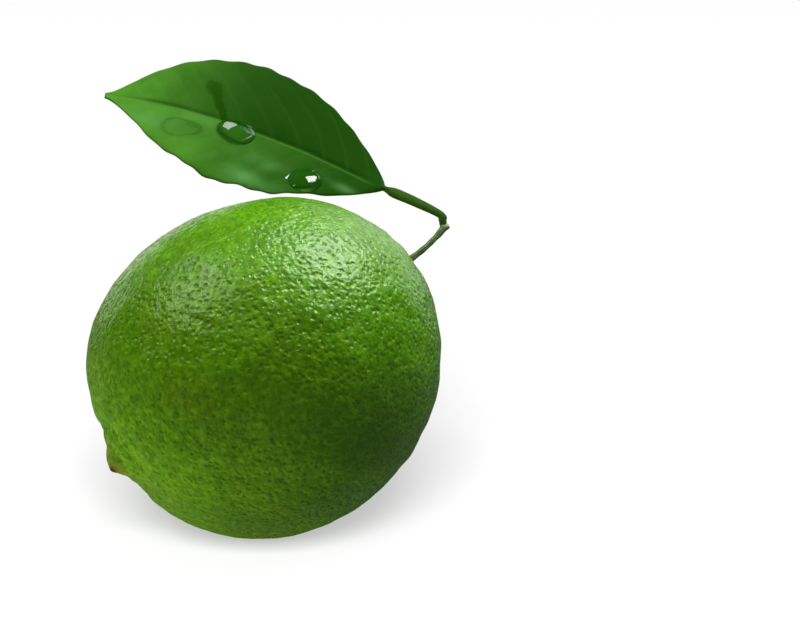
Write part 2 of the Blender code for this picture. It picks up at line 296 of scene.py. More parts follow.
def power(name, description, default):
    """A lamp's power in watts for the sidebar."""
    return FloatProperty(name=name, description=description, default=default, min=0.0)


def whole(name, description, default, least, most):
    """A whole number for the sidebar."""
    return IntProperty(name=name, description=description, default=default, min=least, max=most)


def colour(name, description, default):
    """A colour for the sidebar."""
    return FloatVectorProperty(
        name=name, description=description, default=default, size=3, min=0.0, max=1.0, subtype="COLOR")


class LimeRindSettings(bpy.types.PropertyGroup):
    """Sizes and colours of the rind."""

    patch_cells: whole("Cells", "Cells along each side of the ball's six patches", 128, 8, 128)
    pit_pitch: length("Pit pitch", "Distance between neighbouring pits over the oil glands", 1.3 * MM)
    pit_radius: length("Pit radius", "Radius of a pit", 0.47 * MM)
    pit_depth: length("Pit depth", "Depth of the pits in the mesh", 0.08 * MM)
    ridge_bump: length("Ridge bump", "Height of the fine ridges between the pits", 0.25 * MM)
    pit_bump: length("Pit bump", "Depth that the shading adds to the pits", 0.085 * MM)
    fine_pitch: length("Fine pitch", "Distance between the small pits of the skin", 0.62 * MM)
    fine_bump: length("Fine bump", "Depth of the small pits in the shading", 0.02 * MM)
    undulation: length("Undulation", "Height of the skin's low waves", 0.09 * MM)
    roughness: factor("Roughness", "Roughness of the waxy skin", 0.16)
    bright: colour("Bright green", "Skin where it is lightest", (0.140, 0.400, 0.003))
    deep: colour("Deep green", "Skin where it is darkest", (0.068, 0.225, 0.0015))
    yellow: colour("Yellow green", "Patches that have started to ripen", (0.175, 0.330, 0.003))
    fleck: colour("Fleck", "Light flecks between the pits", (0.215, 0.520, 0.010))
    # colour of the painted light patches
    pale: colour("Pale", "Patches of pale skin", (0.235, 0.530, 0.015))
    green: colour("Cool green", "Skin towards the stem end", (0.080, 0.330, 0.003))
    olive: colour("Olive", "Patches of olive blush", (0.120, 0.165, 0.002))
    brown: colour("Brown", "Dry tint of the nipple", (0.270, 0.210, 0.030))
    scar: colour("Scar", "Dry scar on the nipple", (0.060, 0.030, 0.010))


class LimeCalyxSettings(bpy.types.PropertyGroup):
    """Sizes and colours of the calyx."""

    wrinkle: length("Wrinkle", "Height of the wrinkles that run outwards", 0.035 * MM)
    green: colour("Green", "Middle of the calyx", (0.150, 0.210, 0.050))
    dry: colour("Dry", "Dry rim of the lobes", (0.230, 0.170, 0.070))


class LimeTwigSettings(bpy.types.PropertyGroup):
    """Sizes and colours of the twig."""

    ridge: length("Ridge", "Height of the ridges along the twig", 0.03 * MM)
    green: colour("Green", "Bark of the young twig", (0.045, 0.105, 0.015))
    pale: colour("Pale", "Pale flecks and ridges", (0.120, 0.190, 0.055))
    dry: colour("Dry", "Dry wood of the cut tip", (0.400, 0.290, 0.140))


class LimeLeafSettings(bpy.types.PropertyGroup):
    """Sizes and colours of the leaf."""

    steps: whole("Steps", "Steps along the leaf", 320, 32, 360)
    columns: whole("Columns", "Columns across the leaf", 132, 16, 136)
    thickness: length("Thickness", "Thickness of the blade", 0.42 * MM)
    keel: length("Keel", "Height of the midrib on the underside", 0.55 * MM)
    groove: length("Groove", "Depth of the midrib's groove on the upper side", 0.10 * MM)
    vein_spacing: length("Vein spacing", "Distance between side veins along the midrib", 4.6 * MM)
    vein_relief: length("Vein relief", "Depth of the side veins", 0.015 * MM)
    quilt: length("Quilt", "Rise of the blade between its side veins", 0.05 * MM)
    roughness: factor("Roughness", "Roughness of the upper side", 0.40)
    deep: colour("Deep green", "Upper side near the twig", (0.007, 0.053, 0.0003))
    # lighter green towards the tip, and on the lower half also painted sheen
    light: colour("Light green", "Upper side towards the tip", (0.063, 0.232, 0.012))
    vein: colour("Vein", "Midrib and side veins", (0.055, 0.190, 0.018))
    # colour of the painted sheen in pale bands on the lower half
    painted_sheen: colour("Painted sheen", "Pale bands on the lower half", (0.075, 0.240, 0.060))
    under: colour("Underside", "Pale underside", (0.110, 0.230, 0.060))
    margin: colour("Margin", "Thin line along the edge", (0.030, 0.060, 0.006))
    petiole: colour("Petiole", "Winged stalk of the leaf", (0.025, 0.078, 0.006))


class LimeWaterSettings(bpy.types.PropertyGroup):
    """Sizes of the drops of water."""

    sink: length("Sink", "How far a drop's base lies under the leaf's skin", 0.05 * MM)
    # painted shade of the drops: the green that darkens the leaf under them, and how much of it each part
    # hides
    tint: colour("Tint", "Leaf's green as the water shows it", (0.006, 0.090, 0.002))
    body: factor("Body", "How much of the leaf the middle of a drop hides", 0.40)
    rim: factor("Rim", "How much of the leaf the rim of a drop hides", 0.85)


class LimeStudioSettings(bpy.types.PropertyGroup):
    """Floor, lights and camera."""

    floor_radius: length("Floor radius", "Radius of the round floor", 6.0)
    floor: colour("Floor", "Colour of the floor", (0.20, 0.20, 0.20))
    floor_lift: power("Floor lift", "Glow of the floor for the camera", 0.50)
    floor_power: power("Floor power", "Power of the floor's own light", 5600.0)
    floor_glow: power("Floor glow", "Power of the light that the floor throws up", 105.0)
    top_power: power("Top power", "Power of the soft top light", 125.0)
    side_power: power("Side power", "Power of the soft side lights", 22.0)
    behind_power: power("Behind power", "Power of the soft lights behind", 32.0)
    key_power: power("Key power", "Power of the right glint", 10.0)
    left_power: power("Left power", "Power of the left glint", 2.6)
    rim_power: power("Rim power", "Power of the cards behind", 4.0)
    lens: FloatProperty(name="Lens", description="Focal length in millimetres", default=100.0, min=1.0)


SETTINGS = {
    "lime_rind": LimeRindSettings,
    "lime_calyx": LimeCalyxSettings,
    "lime_twig": LimeTwigSettings,
    "lime_leaf": LimeLeafSettings,
    "lime_water": LimeWaterSettings,
    "lime_studio": LimeStudioSettings,
}


class Wire:
    """A socket that Python's operators turn into Math nodes."""

    def __init__(self, nodes, socket):
        self.nodes = nodes
        self.socket = socket

    def maths(self, operation, other=0.0):
        return self.nodes.add("ShaderNodeMath", {"operation": operation}, {0: self, 1: other})

    def output(self, name):
        """Another output of the same node."""
        return Wire(self.nodes, self.socket.node.outputs[name])

    def step(self, low, high):
        """0 below low, 1 above high and a smooth slope between them."""
        sockets = {"Value": self, "From Min": low, "From Max": high}
        return self.nodes.add("ShaderNodeMapRange", {"interpolation_type": "SMOOTHSTEP"}, sockets)

    def __add__(self, other):
        return self.maths("ADD", other)

    def __sub__(self, other):
        return self.maths("SUBTRACT", other)

    def __rsub__(self, other):
        return self.nodes.add("ShaderNodeMath", {"operation": "SUBTRACT"}, {0: other, 1: self})

    def __mul__(self, other):
        return self.maths("MULTIPLY", other)

    def __truediv__(self, other):
        return self.maths("DIVIDE", other)

    def __pow__(self, other):
        return self.maths("POWER", other)

    __radd__ = __add__
    __rmul__ = __mul__


class Nodes:
    """The node tree of a material or a world."""

    def __init__(self, owner):
        owner.use_nodes = True
        self.tree = owner.node_tree

    def fill(self, node, sockets):
        """Link a wire to a socket, or set its value."""
        for name, value in sockets.items():
            if isinstance(value, Wire):
                self.tree.links.new(value.socket, node.inputs[name])
            else:
                node.inputs[name].default_value = value

    def add(self, kind, settings, sockets, output=0):
        """A node of a kind, its settings first, then the values or links of its sockets."""
        node = self.tree.nodes.new(kind)
        for name, value in settings.items():
            setattr(node, name, value)
        self.fill(node, sockets)
        return Wire(self, node.outputs[output])

    def place(self):
        return self.add("ShaderNodeTexCoord", {}, {}, "Object")

    def attribute(self, name):
        return self.add("ShaderNodeAttribute", {"attribute_name": name}, {}, "Fac")

    def vector(self, operation, first, second=(0.0, 0.0, 0.0), output=0):
        return self.add("ShaderNodeVectorMath", {"operation": operation}, {0: first, 1: second}, output)

    def noise(self, place, size, detail=3.0, roughness=0.5):
        """Noise whose features are about as large as the size in metres, mostly 0.3 to 0.7."""
        sockets = {"Vector": place, "Scale": 1.0 / size, "Detail": detail, "Roughness": roughness}
        return self.add("ShaderNodeTexNoise", {}, sockets)

    def cells(self, place, size, randomness=1.0):
        sockets = {"Vector": place, "Scale": 1.0 / size, "Randomness": randomness}
        return self.add("ShaderNodeTexVoronoi", {"feature": "F1"}, sockets, "Distance")

    def mix(self, share, first, second):
        """Two colours mixed by a share."""
        sockets = {0: share, 6: opaque(first), 7: opaque(second)}
        return self.add("ShaderNodeMix", {"data_type": "RGBA"}, sockets, 2)

    def coats(self, ground, *coats):
        """A colour under coats, each a share and a colour, laid on in order."""
        for share, paint in coats:
            ground = self.mix(share, ground, paint)
        return ground

    def bump(self, height):
        """A normal from a height in metres."""
        return self.add("ShaderNodeBump", {}, {"Strength": 1.0, "Distance": 1.0, "Height": height})


def opaque(paint):
    """A colour with its fourth value, or the wire as it is."""
    if isinstance(paint, Wire):
        return paint
    return (*paint, 1.0)


def darker(paint, share):
    """A colour times a share."""
    return tuple(share * value for value in paint)


def new_material(name, paint):
    """A material whose shader's sockets are filled from what paint(nodes) returns."""
    material = bpy.data.materials.new(name)
    nodes = Nodes(material)
    nodes.fill(nodes.tree.nodes["Principled BSDF"], paint(nodes))
    return material


def bell(distance, spread):
    """A smooth hump: 1 at distance 0, falling away over the spread."""
    return np.exp(-((distance / spread) ** 2))


def slope(value, low, high):
    """0 below low, 1 above high and the smooth cubic between them."""
    share = np.clip((value - low) / (high - low), 0.0, 1.0)
    return share * share * (3.0 - 2.0 * share)


def ripples(points, wavelength, seed, count=18):
    """A smooth random height from -1 to 1, about: a sum of plane waves in seeded directions."""
    draw = np.random.default_rng(seed)
    waves = draw.normal(size=(3, count))
    waves *= 2.0 * math.pi / wavelength / np.linalg.norm(waves, axis=0) * draw.uniform(0.7, 1.5, count)
    phases = draw.uniform(0.0, 2.0 * math.pi, count)
    return np.sin(points @ waves + phases).sum(axis=-1) / math.sqrt(count)


def full_turn(sides):
    """Angles of the points of a ring."""
    return np.linspace(0.0, 2.0 * math.pi, sides, endpoint=False)


def new_piece(name, points, faces, material, masks, node=None):
    """A smooth shaded mesh piece that rides with the lime.

    The masks are numbers per vertex for its material. Faces are turned to point outwards if the
    volume that they close comes out negative.
    """
    a, b, c = (points[[face[k] for face in faces]] for k in (0, 1, 2))
    if np.einsum("ij,ij->i", a, np.cross(b, c)).sum() < 0.0:
        faces = [face[::-1] for face in faces]
    mesh = bpy.data.meshes.new(name)
    mesh.from_pydata(points.tolist(), [], faces)
    mesh.shade_smooth()
    mesh.materials.append(material)
    piece = bpy.data.objects.new(name, mesh)
    bpy.context.scene.collection.objects.link(piece)
    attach(piece, BODY)
    if node is not None:
        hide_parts(node)
    for mask, values in masks.items():
        attribute = mesh.attributes.new(mask, "FLOAT", "POINT")
        attribute.data.foreach_set("value", np.ascontiguousarray(values, dtype=np.float32).ravel())


def tube_faces(rows, sides):
    """Quads of a closed tube of rows rings with as many sides, then a fan at each end.

    The rings' points come first, row by row, and the two end points last.
    """
    ids = np.arange(rows * sides).reshape(rows, sides)
    ids = np.concatenate((ids, ids[:, :1]), axis=1)
    quads = np.stack((ids[:-1, :-1], ids[:-1, 1:], ids[1:, 1:], ids[1:, :-1]), axis=-1).reshape(-1, 4)
    first = np.stack((ids[0, 1:], ids[0, :-1], np.full(sides, rows * sides)), axis=-1)
    last = np.stack((ids[-1, :-1], ids[-1, 1:], np.full(sides, rows * sides + 1)), axis=-1)
    return quads.tolist() + first.tolist() + last.tolist()


def ball_grid(cells):
    """Unit directions and quads of a ball of six square patches.

    Each patch's two parameters run over 45 degrees either way. Their tangents, with 1 as the third
    coordinate, give a point of a cube, and its direction is the ball's. Points that patches share
    are one point.
    """
    tangent = np.tan(np.linspace(-math.pi / 4.0, math.pi / 4.0, cells + 1))
    a, b = np.meshgrid(tangent, tangent, indexing="ij")
    one = np.ones_like(a)
    patches = ((one, a, b), (-one, b, a), (b, one, a), (a, -one, b), (a, b, one), (b, a, -one))
    points = np.concatenate([np.stack(patch, axis=-1).reshape(-1, 3) for patch in patches])
    points /= np.linalg.norm(points, axis=1)[:, None]
    _, first, shared = np.unique(np.round(points, 7) + 0.0, axis=0, return_index=True, return_inverse=True)
    ids = shared.reshape(6, cells + 1, cells + 1)
    quads = np.stack((ids[:, :-1, :-1], ids[:, 1:, :-1], ids[:, 1:, 1:], ids[:, :-1, 1:]), axis=-1)
    return points[first], quads.reshape(-1, 4).tolist()


def rotate_bits(number, bits):
    return (number << np.uint32(bits)) | (number >> np.uint32(32 - bits))


def hash_cells(cells, extra=None):
    """A whole number up to 32 bits for each cell, as the cell texture draws it."""
    keys = 3 if extra is None else 4
    start = np.uint32((HASH_START + 4 * keys) & 0xFFFFFFFF)
    state = [cells[:, axis].astype(np.float32).view(np.uint32) + start for axis in range(3)]
    if extra is not None:
        for turn, bits in enumerate(HASH_MIX_BITS):
            now, after, before = turn % 3, (turn + 1) % 3, (turn + 2) % 3
            state[now] = (state[now] - state[before]) ^ rotate_bits(state[before], bits)
            state[before] = state[before] + state[after]
        state[0] = state[0] + np.full(len(cells), extra, np.float32).view(np.uint32)
    for target, source, bits in HASH_FINAL_STEPS:
        state[target] = (state[target] ^ state[source]) - rotate_bits(state[source], bits)
    return state[2]


def nearest_cell_points(points, size):
    """The point of the cell texture that is nearest to each point.

    It is the same pattern as the shader's, so that the pits of the mesh and those of the shading
    lie in the same places.
    """
    scaled = points / size
    base = np.floor(scaled)
    best = np.full(len(points), np.inf)
    nearest = np.zeros_like(points)
    for step in np.ndindex(3, 3, 3):
        cell = base + np.array(step) - 1.0
        draws = [hash_cells(cell), hash_cells(cell, 1.0), hash_cells(cell, 2.0)]
        place = cell + np.stack(draws, axis=-1) / HASH_RANGE
        distance = np.linalg.norm(place - scaled, axis=1)
        closer = distance < best
        best[closer] = distance[closer]
        nearest[closer] = place[closer]
    return nearest * size


def fruit_turn():
    """Rotation from the fruit's own frame, +Z to the stem end, to its place."""
    heading = Matrix.Rotation(AXIS_HEADING, 3, "Z")
    return np.array(heading @ Matrix.Rotation(math.pi / 2.0 - AXIS_ELEVATION, 3, "Y"))


def in_place(points):
    """Points of the fruit's own frame at their place."""
    return points @ fruit_turn().T + FRUIT_CENTRE


def stem_relief(distance):
    """Rise along the axis at the stem end: a low neck with the calyx's dimple in it."""
    return NECK_RISE * bell(distance, NECK_SPREAD) - DIMPLE_DEPTH * bell(distance, DIMPLE_SPREAD)


def nub_share(distance):
    """1 on top of the nub, 0 from its foot outwards."""
    return np.clip(1.0 - (distance / NUB_RADIUS) ** 2, 0.0, 1.0) ** NUB_ROUNDNESS


def nipple_relief(distance):
    """Rise along the axis at the nipple end: mound, furrow and nub."""
    mound = MOUND_RISE * bell(distance, MOUND_SPREAD)
    furrow = FURROW_DEPTH * bell(distance - FURROW_RADIUS, FURROW_SPREAD)
    return mound - furrow + NUB_HEIGHT * nub_share(distance)


def swelling_rise(directions):
    """Rise of the broad swellings: each a bell over the angle from its middle."""
    rise = np.zeros(len(directions))
    for turn, from_stem, height in SWELLINGS:
        turn, from_stem = math.radians(turn), math.radians(from_stem)
        across = math.sin(from_stem)
        middle = np.array((across * math.cos(turn), across * math.sin(turn), math.cos(from_stem)))
        angle = np.degrees(np.arccos(np.clip(directions @ middle, -1.0, 1.0)))
        rise += height * MM * bell(angle, SWELLING_SPREAD)
    return rise


def fruit_surface(directions):
    """The rind in the fruit's own frame from unit directions.

    The ellipsoid's point is raised along its direction by the swellings and along the axis by the
    relief of the stem end or the nipple end. It then shifts sideways by the square of its height,
    as the axis bends.
    """
    size = np.array((FRUIT_RADIUS, FRUIT_RADIUS, FRUIT_HALF_LENGTH))
    points = directions * size + directions * swelling_rise(directions)[:, None]
    distance = FRUIT_RADIUS * np.hypot(directions[:, 0], directions[:, 1])
    at_stem = directions[:, 2] > 0.0
    points[:, 2] += np.where(at_stem, stem_relief(distance), -nipple_relief(distance))
    points[:, 0] -= AXIS_BEND * (points[:, 2] / FRUIT_HALF_LENGTH) ** 2
    return points


def crowd_to_nipple(directions):
    """Unit directions slid towards the nipple's pole near it, where the skin has its small forms."""
    polar = np.arccos(np.clip(-directions[:, 2], -1.0, 1.0))
    slid = polar - CROWDING * np.sin(polar) * bell(polar, CROWDING_SPREAD)
    stretch = np.sin(slid) / np.maximum(np.sin(polar), TINY)
    return np.column_stack((directions[:, 0] * stretch, directions[:, 1] * stretch, -np.cos(slid)))


def patch_mask(outwards, patches):
    """The strongest patch in each direction: each is a bell over the angle from its middle."""
    mask = np.zeros(len(outwards))
    for direction, spread, strength in patches:
        angle = np.degrees(np.arccos(np.clip(outwards @ np.array(direction), -1.0, 1.0)))
        mask = np.maximum(mask, strength * bell(angle, spread))
    return mask


def rind_points(directions, settings):
    """The rind at its place, with its low waves and its pits, and the masks for its material.

    Low waves are sums of plane waves. Round both ends a few creases run outwards, as a cosine of
    the turn. A pit is (1 - (d / radius)^2)^2 of the distance d across the skin from its cell's
    point, and it is shallower the further that point lies from the skin.
    """
    turn = np.arctan2(directions[:, 1], directions[:, 0])
    distance = FRUIT_RADIUS * np.hypot(directions[:, 0], directions[:, 1])
    at_nipple = directions[:, 2] < 0.0
    points = in_place(fruit_surface(directions))
    outwards = points - FRUIT_CENTRE
    outwards /= np.linalg.norm(outwards, axis=1)[:, None]

    waves = 0.7 * ripples(points, LONG_WAVES, 11) + 0.3 * ripples(points, SHORT_WAVES, 12)
    creases = np.cos(9.0 * turn + 2.0 * np.sin(2.0 * turn)) * bell(distance - CREASE_RADIUS, CREASE_SPREAD)
    folds = np.cos(7.0 * turn + 1.5 * np.sin(3.0 * turn)) * bell(distance - FOLD_RADIUS, FOLD_SPREAD)
    stub_x, stub_y = STUB_PLACE
    away = np.hypot(distance * np.cos(turn) - stub_x, distance * np.sin(turn) - stub_y)
    stub = bell(away, STUB_SPREAD) * at_nipple
    rise = settings.undulation * waves + CREASE_RISE * (creases + folds * at_nipple) + STUB_RISE * stub

    offset = points - nearest_cell_points(points, settings.pit_pitch)
    depth = np.abs(np.einsum("ij,ij->i", offset, outwards))
    across = np.sqrt(np.maximum(np.einsum("ij,ij->i", offset, offset) - depth ** 2, 0.0))
    pit = np.clip(1.0 - (across / settings.pit_radius) ** 2, 0.0, 1.0) ** 2
    pit *= 1.0 - slope(depth / settings.pit_pitch, *PIT_DEPTH_FADE)
    pitted = np.where(at_nipple, slope(distance, *PITS_FROM_NIPPLE), slope(distance, *PITS_FROM_STEM))
    rise -= settings.pit_depth * pit * pitted
    points += outwards * rise[:, None]
    points[:, 2] = np.maximum(points[:, 2], 0.0)

    masks = {
        "nub": np.where(at_nipple, nub_share(distance), 0.0),
        "scar": np.minimum(1.4 * stub, 1.0),
        "stem_ring": np.where(at_nipple, 0.0, bell(distance, STEM_RING_SPREAD)),
        "calm": 1.0 - pitted,
        "olive": patch_mask(outwards, OLIVE_PATCHES),
        # painted shade from the shade patches
        "deep": patch_mask(outwards, SHADE_PATCHES),
        # painted light from the light patches
        "pale": patch_mask(outwards, PAINTED_LIGHT_PATCHES),
        "warm": slope(-directions[:, 2], -0.5, 1.0),
    }
    return points, masks


def rind_look(settings):
    """Shader sockets of the rind: mottled greens, painted shade in the pits and in patches, painted light in
    patches, dry nipple and bump of the pits.
    """
    def paint(nodes):
        place = nodes.place()
        outwards = nodes.vector("NORMALIZE", nodes.vector("SUBTRACT", place, tuple(FRUIT_CENTRE)))
        cells = nodes.cells(place, settings.pit_pitch)
        offset = nodes.vector("SUBTRACT", place, cells.output("Position"))
        depth = nodes.vector("DOT_PRODUCT", offset, outwards, "Value").maths("ABSOLUTE")
        squared = nodes.vector("DOT_PRODUCT", offset, offset, "Value") - depth * depth
        pit = (1.0 - squared / settings.pit_radius ** 2).maths("MAXIMUM", 0.0) ** 2.0
        pit = pit * (1.0 - (depth / settings.pit_pitch).step(*PIT_DEPTH_FADE))
        pit = pit * (1.0 - nodes.attribute("calm"))
        small = (1.0 - nodes.cells(place, settings.fine_pitch) * 1.6).maths("MAXIMUM", 0.0)
        grain = nodes.noise(place, 0.35 * MM, 2.0)

        patches = nodes.noise(place, 9.0 * MM, 3.0, 0.55)
        mottle = nodes.noise(place, 1.9 * MM, 3.0, 0.6)
        ripe = nodes.noise(nodes.vector("ADD", place, (0.31, 0.17, 0.05)), 14.0 * MM, 4.0, 0.6)
        net = nodes.noise(place, 0.75 * MM, 2.0).step(0.40, 0.60)
        longer = nodes.vector("MULTIPLY", place, (1.0, 1.0, 1.7))
        streaks = nodes.noise(longer, 2.0 * MM, 2.0).step(0.42, 0.60)
        flecks = nodes.noise(nodes.vector("ADD", place, (0.05, 0.11, 0.23)), 1.1 * MM, 2.0).step(0.52, 0.68)
        warm = nodes.attribute("warm")
        uneven = 0.4 + mottle.step(0.35, 0.65) * 0.8
        dry = nodes.attribute("nub") ** 0.6 * mottle.step(0.30, 0.58)
        scar = nodes.attribute("scar")
        deep, yellow = settings.deep, settings.yellow
        skin = nodes.coats(
            deep,
            ((patches * 0.5 + mottle * 0.5).step(0.34, 0.68), settings.bright),
            ((1.0 - warm * 2.0) * 0.25, settings.green),
            (warm * (0.12 + ripe.step(0.42, 0.70) * 0.9), yellow),
            (nodes.attribute("olive") * uneven, settings.olive),
            # painted light: the skin lightened where the light patches lie
            (nodes.attribute("pale") * uneven, settings.pale),
            (net * 0.40, darker(deep, 0.6)),
            (streaks * 0.30, darker(deep, 0.6)),
            (flecks * 0.38, settings.fleck),
            # painted shade: the skin darkened where the shade patches lie
            (nodes.attribute("deep") * (0.55 + mottle * 0.5), darker(deep, 0.45)),
            # painted shade: the pits darkened
            (pit * 0.4, darker(deep, 0.5)),
            (small * 0.12, yellow),
            (nodes.attribute("stem_ring") * 0.5, yellow),
            (dry * 0.9, settings.brown),
            (scar, settings.scar),
        )
        ridges = nodes.noise(place, 1.1 * MM, 3.0, 0.6) * settings.ridge_bump
        height = ridges - pit * settings.pit_bump - small * settings.fine_bump + grain * (0.012 * MM)
        return {
            "Base Color": skin,
            "Roughness": settings.roughness + mottle * 0.12 + pit * 0.1 + scar * 0.3,
            "Normal": nodes.bump(height),
            "Specular IOR Level": 0.5,
            "Specular Tint": (0.90, 1.0, 0.80, 1.0),
        }
    return new_material("rind_skin", paint)


class LIME_OT_rind(bpy.types.Operator):
    """Make the pitted rind in place of the plain fruit"""

    bl_idname = "lime.make_rind"
    bl_label = "Make the rind"

    def execute(self, context):
        settings = context.scene.lime_rind
        directions, faces = ball_grid(settings.patch_cells)
        points, masks = rind_points(crowd_to_nipple(directions), settings)
        new_piece("rind", points, faces, rind_look(settings), masks, "fruit")
        return {"FINISHED"}


def calyx_surface(directions):
    """The calyx in the fruit's own frame from the unit directions of a sphere.

    Its outline is a circle with five rounded notches. The lower side follows the rind, and the
    upper side is a low dome with a rim, and with the twig's collar on top.
    """
    across = np.hypot(directions[:, 0], directions[:, 1])
    turn = np.arctan2(directions[:, 1], directions[:, 0])
    notch = CALYX_NOTCH * (0.5 - 0.5 * np.cos(CALYX_LOBES * turn)) * across ** CALYX_NOTCH_POWER
    distance = CALYX_RADIUS * across * (1.0 - notch)
    under = distance / FRUIT_RADIUS
    bed = np.column_stack((under * np.cos(turn), under * np.sin(turn), np.sqrt(1.0 - under ** 2)))
    points = fruit_surface(bed)
    dome = CALYX_THICKNESS * (0.5 + 0.5 * directions[:, 2]) * np.sqrt(np.abs(directions[:, 2]))
    collar = COLLAR_RISE * bell(distance, COLLAR_SPREAD) * (directions[:, 2] > 0.0)
    rim = CALYX_RIM_RISE * across ** CALYX_RIM_POWER
    points[:, 2] += dome + collar + rim
    return points


def calyx_look(settings):
    """Shader sockets of the calyx: green middle, dry lobes with darker flecks."""
    def paint(nodes):
        place = nodes.place()
        flecks = nodes.noise(place, 0.5 * MM, 4.0, 0.6)
        rim = (nodes.attribute("rim") + (flecks - 0.5) * 0.8).step(0.45, 0.95)
        specks = flecks.step(0.58, 0.75) * 0.6
        skin = nodes.coats(settings.green, (rim, settings.dry), (specks, darker(settings.dry, 0.3)))
        return {
            "Base Color": skin,
            "Roughness": 0.55 + flecks * 0.3,
            "Normal": nodes.bump(flecks * (0.05 * MM)),
            "Specular IOR Level": 0.3,
        }
    return new_material("calyx_skin", paint)


class LIME_OT_calyx(bpy.types.Operator):
    """Make the five-lobed calyx in place of the plain one"""

    bl_idname = "lime.make_calyx"
    bl_label = "Make the calyx"

    def execute(self, context):
        settings = context.scene.lime_calyx
        polar = np.linspace(0.0, math.pi, CALYX_ROWS + 2)[1:-1]
        polar, turn = (grid.ravel() for grid in np.meshgrid(polar, full_turn(CALYX_SIDES), indexing="ij"))
        ring = np.column_stack((np.sin(polar) * np.cos(turn), np.sin(polar) * np.sin(turn), np.cos(polar)))
        directions = np.vstack((ring, (0.0, 0.0, 1.0), (0.0, 0.0, -1.0)))
        points = calyx_surface(directions)
        across = np.hypot(directions[:, 0], directions[:, 1])
        angle = np.arctan2(directions[:, 1], directions[:, 0])
        wrinkles = np.cos(31.0 * angle + 3.0 * np.sin(4.0 * angle)) + 0.7 * np.cos(53.0 * angle)
        points[:, 2] += settings.wrinkle * wrinkles * across ** 2
        points[:, 2] += CALYX_RIPPLE * ripples(points, CALYX_RIPPLE_SIZE, 31) * across
        faces = tube_faces(CALYX_ROWS, CALYX_SIDES)
        new_piece("calyx_button", in_place(points), faces, calyx_look(settings), {"rim": across},
                  "calyx")
        return {"FINISHED"}


def twig_path():
    """Points and radii of the twig: a bend from the calyx to the node, then the short stub.

    The bend is a quadratic curve that leaves along the fruit's axis. The radius swells at the foot
    and at the node by a high power of the share from it, and shrinks along the stub.
    """
    foot = in_place(calyx_surface(np.array(((0.0, 0.0, 1.0),))))[0]
    axis = fruit_turn() @ np.array((0.0, 0.0, 1.0))
    handle = foot + axis * np.linalg.norm(TWIG_NODE - foot) * TWIG_HANDLE_SHARE
    foot = foot - axis * TWIG_ROOT
    share = np.linspace(0.0, 1.0, TWIG_STEPS)[:, None]
    bend = foot * (1.0 - share) ** 2 + handle * 2.0 * share * (1.0 - share) + TWIG_NODE * share ** 2
    swell = 1.0 + (TWIG_BASE_SWELL - 1.0) * (1.0 - share[:, 0]) ** TWIG_SWELL_POWER
    swell += (TWIG_NODE_SWELL - 1.0) * share[:, 0] ** TWIG_SWELL_POWER
    end = np.linspace(0.0, 1.0, TWIG_STUB_STEPS)[1:, None]
    stub = TWIG_NODE + (TWIG_STUB_END - TWIG_NODE) * end
    shrink = TWIG_NODE_SWELL + (TWIG_TIP_SWELL - TWIG_NODE_SWELL) * end[:, 0]
    return np.vstack((bend, stub)), np.concatenate((swell, shrink)) * TWIG_THICKNESS / 2.0


def twig_look(settings):
    """Shader sockets of the twig: green bark with pale flecks and lines, dry at the cut."""
    def paint(nodes):
        place = nodes.place()
        bark = nodes.noise(place, 0.8 * MM, 4.0, 0.6)
        flecks = nodes.cells(place, 0.45 * MM)
        skin = nodes.coats(
            settings.green,
            ((bark + nodes.attribute("ridge") * 0.25).step(0.42, 0.80), settings.pale),
            ((1.0 - flecks.step(0.14, 0.26)) * 0.6, settings.pale),
            (nodes.attribute("dry"), settings.dry),
        )
        return {
            "Base Color": skin,
            "Roughness": 0.42 + bark * 0.25,
            "Normal": nodes.bump(bark * (0.06 * MM) - flecks * (0.02 * MM)),
            "Specular IOR Level": 0.35,
        }
    return new_material("twig_bark", paint)


class LIME_OT_twig(bpy.types.Operator):
    """Make the ridged twig with its dry cut tip in place of the plain one"""

    bl_idname = "lime.make_twig"
    bl_label = "Make the twig"

    def execute(self, context):
        settings = context.scene.lime_twig
        path, radius = twig_path()
        along = np.gradient(path, axis=0)
        along /= np.linalg.norm(along, axis=1)[:, None]
        side = np.cross(along, (0.0, 0.0, 1.0))
        side /= np.linalg.norm(side, axis=1)[:, None]
        above = np.cross(side, along)
        turn = full_turn(TWIG_SIDES)[None, :]
        run = np.linspace(0.0, 1.0, len(path))[:, None]
        ridge = np.cos(5.0 * turn + 1.2 * np.sin(5.0 * run))
        reach = radius[:, None] + settings.ridge * ridge
        ring = side[:, None, :] * np.cos(turn)[..., None] + above[:, None, :] * np.sin(turn)[..., None]
        points = path[:, None, :] + ring * reach[:, :, None]
        points += ring * (TWIG_RIPPLE * ripples(points, TWIG_RIPPLE_SIZE, 21))[:, :, None]
        points = np.vstack((points.reshape(-1, 3), path[:1], path[-1:] - along[-1:] * 0.1 * MM))
        from_tip = np.arange(len(path)) - len(path)
        dry = np.repeat(slope(from_tip, *TWIG_DRY_STEPS), TWIG_SIDES)
        masks = {"dry": np.append(dry, (0.0, 1.0)), "ridge": np.append(ridge.ravel(), (0.0, 0.0))}
        faces = tube_faces(len(path), TWIG_SIDES)
        new_piece("twig_stalk", points, faces, twig_look(settings), masks, "twig")
        return {"FINISHED"}


